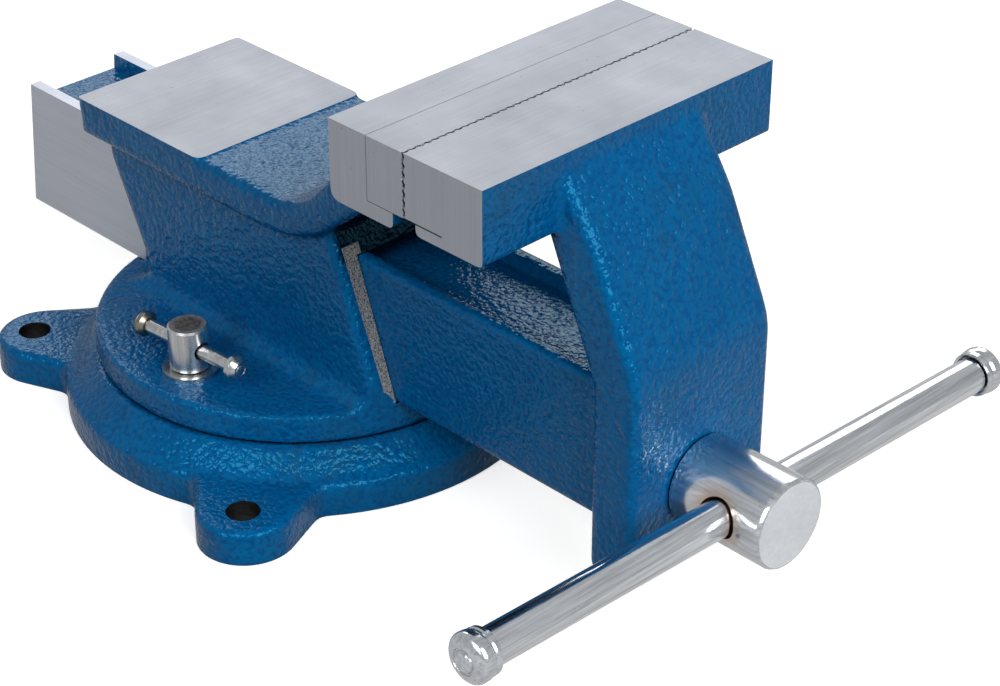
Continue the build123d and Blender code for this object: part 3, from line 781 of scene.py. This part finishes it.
def jaw_plate(node, body, face_x, back_x, under_gap, shift):
    """Plate with a serrated gripping face, a little short of its seat below so that a seam shows."""
    bottom = PLATE_BOTTOM + under_gap
    across_y = round(2 * JAW_HALF / SERRATION_STEP)
    across_z = round((JAW_TOP - bottom) / SERRATION_STEP)
    into = 1 if back_x > face_x else -1
    shape = bmesh.new()
    grid = []
    for i in range(across_y + 1):
        y = -JAW_HALF + 2 * JAW_HALF * i / across_y
        row = []
        for j in range(across_z + 1):
            z = bottom + (JAW_TOP - bottom) * j / across_z
            depth = SERRATION_DEPTH * wear(y, z) * serration(y + shift, z)
            row.append(shape.verts.new((face_x + into * depth, y, z)))
        grid.append(row)
    for i in range(across_y):
        for j in range(across_z):
            shape.faces.new((grid[i][j], grid[i + 1][j], grid[i + 1][j + 1], grid[i][j + 1]))
    low_near, low_far, high_far, high_near = [
        shape.verts.new((back_x, y, z)) for y, z in ((-JAW_HALF, bottom), (JAW_HALF, bottom),
                                                     (JAW_HALF, JAW_TOP), (-JAW_HALF, JAW_TOP))]
    shape.faces.new((low_near, low_far, high_far, high_near))
    shape.faces.new([*(row[0] for row in grid), low_far, low_near])
    shape.faces.new([*(row[-1] for row in grid), high_far, high_near])
    shape.faces.new([*grid[0], high_near, low_near])
    shape.faces.new([*grid[-1], high_far, low_far])
    raw = closed_object(node + "_raw", shape)
    tools = plate_screw_cutters(face_x, back_x, into)
    cut(raw, tools)
    piece = settled(node + "_serrated", raw, tools, body, node)
    _, normal = face_data(piece.data)
    paint(piece, [STEEL_Y, STEEL_Z], [(STEEL_Z, np.abs(normal[:, Y]) > SQUARE)])


# Bars and knobs
def lathe(shape, profile, origin, axis, sides=96):
    """Adds a closed turned body from (radius, place) points along an axis from an origin."""
    axis = Vector(axis).normalized()
    first = axis.orthogonal().normalized()
    second = axis.cross(first)
    rings = []
    for radius, place in profile:
        at = Vector(origin) + axis * place
        if radius == 0:
            rings.append([shape.verts.new(at)])
            continue
        rings.append([shape.verts.new(at + (first * math.cos(2 * math.pi * k / sides)
                                            + second * math.sin(2 * math.pi * k / sides)) * radius)
                      for k in range(sides)])
    for before, after in zip(rings, rings[1:]):
        for k in range(sides):
            n = (k + 1) % sides
            if len(before) == 1:
                shape.faces.new((before[0], after[n], after[k]))
            elif len(after) == 1:
                shape.faces.new((before[k], before[n], after[0]))
            else:
                shape.faces.new((before[k], before[n], after[n], after[k]))


def arc(start, end, bulge, steps):
    """Points of a soft curve between two (radius, place) points, pushed out by a share of their distance."""
    (r0, s0), (r1, s1) = start, end
    out = (s1 - s0, -(r1 - r0))
    points = []
    for i in range(steps + 1):
        t = i / steps
        push = 4 * bulge * t * (1 - t)
        points.append((r0 + (r1 - r0) * t + out[0] * push, s0 + (s1 - s0) * t + out[1] * push))
    return points


def scaled(radius, length, shares):
    """Profile points from shares of a radius and a length."""
    return [(radius * across, along * length) for across, along in shares]


def knob_profile(radius, length, bar_radius):
    """Riveted handle knob: groove at the bar, lip, rim, rounded shoulder, low face with a peened disc."""
    groove = bar_radius + 0.1 * MM
    foot = [(0, 0.1 * length), (groove, 0.1 * length), (groove + 0.05 * radius, 0.02 * length)]
    lip = scaled(radius, length, [(0.9, 0), (0.95, 0.05), (0.96, 0.18), (0.925, 0.25)])
    rim = scaled(radius, length, [(0.93, 0.29), (0.985, 0.37), (1, 0.44), (1, 0.53)])
    shoulder = arc(rim[-1], (radius * 0.82, 0.84 * length), 0.2, 7)
    face = arc(shoulder[-1], (radius * 0.54, 0.945 * length), 0.03, 4)
    disc = scaled(radius, length, [(0.5, 0.885), (0.46, 0.885), (0.41, 0.955), (0.36, 0.985),
                                   (0.2, 1), (0, 1)])
    return [*foot, *lip, *rim, *shoulder[1:], *face[1:], *disc]


def barrel_profile(radius, length, bar_radius):
    """Knob of a clamp bar: short barrel with a groove, a chamfer and a peened disc. It has no groove at
    the bar, so it leaves bar_radius unused."""
    barrel = [(0, 0), (0.72, 0), (0.78, 0.06), (1, 0.24), (1, 0.48)]
    groove = [(0.93, 0.51), (0.93, 0.57), (0.98, 0.6)]
    disc = [(0.7, 0.93), (0.64, 0.97), (0.48, 0.97), (0.44, 0.92), (0.4, 0.97), (0.2, 1), (0, 1)]
    return scaled(radius, length, barrel + groove + disc)


def bar_profile(radius, grip, knob_length):
    """Bar from knob to knob, with a thin tenon in each knob."""
    half, edge, tenon = grip / 2, 0.3 * MM, radius * 0.6
    end = half + 0.3 * knob_length
    high = [(radius, half - edge), (radius - edge, half), (tenon, half), (tenon, end), (0, end)]
    return [(across, -along) for across, along in reversed(high)] + high


def turned_object(node, body, finish, profile, origin, axis):
    shape = bmesh.new()
    lathe(shape, profile, origin, axis)
    piece = closed_object(node + "_turned", shape)
    stand_in(piece, body, node)
    paint(piece, [finish], [], TURNED_SHARP_ANGLE)


def bar_and_knobs(bar, low_knob, high_knob, body, slot, finishes, knob_shape,
                  radius, grip, knob_radius, knob_length):
    """finishes: of the bar, the low knob and the high knob."""
    axis, middle = axis_of(low_knob, high_knob)
    knob = knob_shape(knob_radius, knob_length, radius)
    turned_object(bar, body, finishes[0], bar_profile(radius, grip, knob_length), middle, axis)
    turned_object(low_knob, body, finishes[1], knob, middle - axis * (grip / 2), -axis)
    turned_object(high_knob, body, finishes[2], knob, middle + axis * (grip / 2), axis)


# Spindle
def thread_radius(x, turn):
    """Radius of the screw at a place along it, turn from 0 to 1 round it."""
    t = (x / THREAD_PITCH - turn) % 1
    crest = min(max((THREAD_FOOT - abs(t - 0.5)) / THREAD_FLANK, 0), 1)
    radius = THREAD_ROOT + (THREAD_CREST - THREAD_ROOT) * crest
    return min(radius, THREAD_CREST - THREAD_LEAD + (x - spindle_low.x))


def spindle_places():
    """Places of the rings along the spindle, each with its radius, or None along the thread."""
    start, stop, end = spindle_low.x, collar_low.x - 1 * MM, spindle_high.x
    count = round((stop - start) / THREAD_PITCH * THREAD_STEPS)
    thread = [(start + (stop - start) * i / count, None) for i in range(count + 1)]
    neck = [(stop + 0.5 * MM, THREAD_CREST), (HEAD_INNER, THREAD_CREST),
            (HEAD_INNER, HEAD_RADIUS - HEAD_REAR_EDGE)]
    low, high = HEAD_INNER + HEAD_REAR_EDGE, end - HEAD_EDGE
    head = [(low + (high - low) * i / HEAD_STEPS, HEAD_RADIUS) for i in range(HEAD_STEPS + 1)]
    edge = [(end - 0.3 * HEAD_EDGE, HEAD_RADIUS - 0.35 * HEAD_EDGE), (end, HEAD_RADIUS - HEAD_EDGE)]
    return thread + neck + head + edge


def spindle():
    """One skin of thread, neck and head, dished round the cross hole, which is then cut."""
    shape = bmesh.new()
    rings = []
    for x, plain in spindle_places():
        ring = []
        for k in range(SCREW_SIDES):
            angle = 2 * math.pi * k / SCREW_SIDES
            out = Vector((0, math.cos(angle), math.sin(angle)))
            place = Vector((x, 0, SCREW_Z)) + out * (plain or thread_radius(x, k / SCREW_SIDES))
            if plain == HEAD_RADIUS:
                off = (place - HOLE_PLACE).cross(HOLE_AXIS).length - HOLE_RADIUS
                place -= out * DISH_DEPTH * math.exp(-(max(off, 0) / DISH_REACH) ** 2)
            ring.append(shape.verts.new(place))
        rings.append(ring)
    for before, after in zip(rings, rings[1:]):
        for k in range(SCREW_SIDES):
            n = (k + 1) % SCREW_SIDES
            shape.faces.new((before[k], before[n], after[n], after[k]))
    shape.faces.new(rings[0])
    shape.faces.new(rings[-1])
    raw = closed_object("spindle_raw", shape)
    reach = HOLE_AXIS * (HEAD_RADIUS + 10 * MM)
    hole = rod_object("hole", HOLE_PLACE - reach, HOLE_PLACE + reach, HOLE_RADIUS, sides=96)
    cut(raw, [hole])
    piece = settled("threaded_spindle", raw, [hole], "spindle", "spindle")
    centre, normal = face_data(piece.data)
    end_face = flat(centre, normal, X, spindle_high.x)
    paint(piece, [BRIGHT, BRIGHT_END], [(BRIGHT_END, end_face)])


fixed_casting()
movable_casting()
base_casting()
jaw_plate("fixed_jaw_plate", "body", rear_plate_high.x, rear_plate_low.x + FIXED_PLATE_SEAM,
          FIXED_PLATE_SEAM, 0)
jaw_plate("movable_jaw_plate", "front_jaw", front_plate_low.x, front_plate_high.x,
          FRONT_PLATE_SEAM, SERRATION_PITCH / math.sqrt(2))
spindle()
bar_and_knobs("handle_bar", "near_handle_knob", "far_handle_knob", "handle", "bright_plate",
              [BRIGHT_BAR, BRIGHT_KNOB, BRIGHT_KNOB], knob_profile, **HANDLE)
for side in ("left", "right"):
    bar_and_knobs(f"{side}_clamp_bar", f"{side}_clamp_rear_knob", f"{side}_clamp_front_knob",
                  f"{side}_clamp_handle", "dull_plate", [DULL, BROWN, DULL], barrel_profile, **CLAMP_BAR)


# Floor, sky, lamps and camera
def seen_directly(tree, path):
    """1 for rays from the camera or through glass, else 0."""
    return computed(tree, "MAXIMUM", path.outputs["Is Camera Ray"], path.outputs["Is Transmission Ray"])


def stage_floor():
    """Floor that looks white, keeps the shadow and throws little light back on the part."""
    floor = box_object("floor", (-FLOOR_HALF, -FLOOR_HALF, FLOOR_BOTTOM),
                       (FLOOR_HALF, FLOOR_HALF, FLOOR_TOP))
    made, tree, shader = material("floor")
    set_inputs(tree, shader, Base_Color=FLOOR_BOUNCE, Roughness=0.9, Specular_IOR_Level=0)
    far = off_line(tree, coordinate(tree, "Object"), (0, 0, 0), (0, 0, 1))
    glow = add(tree, "ShaderNodeEmission", Strength=remapped(tree, far, FLOOR_GLOW_REACH, FLOOR_GLOW))
    pale = add(tree, "ShaderNodeBsdfDiffuse", Color=FLOOR_PALE)
    both = tree.nodes.new("ShaderNodeAddShader")
    feed(tree, both.inputs[0], pale.outputs[0])
    feed(tree, both.inputs[1], glow.outputs[0])
    path = tree.nodes.new("ShaderNodeLightPath")
    share = computed(tree, "MULTIPLY_ADD", path.outputs["Is Glossy Ray"], FLOOR_GLOSSY_SHARE,
                     seen_directly(tree, path))
    mix = add(tree, "ShaderNodeMixShader", Fac=share)
    feed(tree, mix.inputs[1], shader.outputs[0])
    feed(tree, mix.inputs[2], both.outputs[0])
    set_inputs(tree, tree.nodes["Material Output"], Surface=mix.outputs[0])
    floor.data.materials.append(made)


def sky():
    world = bpy.data.worlds.new("sky")
    bpy.context.scene.world = world
    world.use_nodes = True
    tree = world.node_tree
    path = tree.nodes.new("ShaderNodeLightPath")
    glossy = remapped(tree, path.outputs["Is Glossy Ray"], (0, 1), (SKY_DIFFUSE, SKY_GLOSSY))
    seen = remapped(tree, seen_directly(tree, path), (0, 1), (0, SKY_SEEN))
    set_inputs(tree, tree.nodes["Background"], Color=SKY_COLOUR,
               Strength=computed(tree, "MAXIMUM", glossy, seen))


def lamp(name, place, width, height, power):
    light = bpy.data.lights.new(name, "AREA")
    light.shape = "RECTANGLE"
    light.energy = power
    light.size = width
    light.size_y = height
    holder = new_object(name, light)
    holder.location = place
    holder.rotation_euler = (Vector(LAMP_TARGET) - Vector(place)).to_track_quat("-Z", "Y").to_euler()


def camera():
    data = bpy.data.cameras.new("camera")
    data.lens = CAMERA_LENS
    data.sensor_width = CAMERA_SENSOR
    holder = new_object("camera", data)
    holder.location = CAMERA_PLACE
    holder.rotation_euler = CAMERA_LOOK.to_track_quat("-Z", "Y").to_euler()
    bpy.context.scene.camera = holder


stage_floor()
sky()
lamp("back", (-1.35, 1.32, 1.3), width=2.2, height=1.2, power=17)
lamp("left", (0.45, -1.95, 1.4), width=1.2, height=1.2, power=27)
lamp("front", (2.0, -0.25, 1.35), width=1.8, height=1.3, power=48)
camera()
bpy.context.scene.view_settings.view_transform = "Standard"
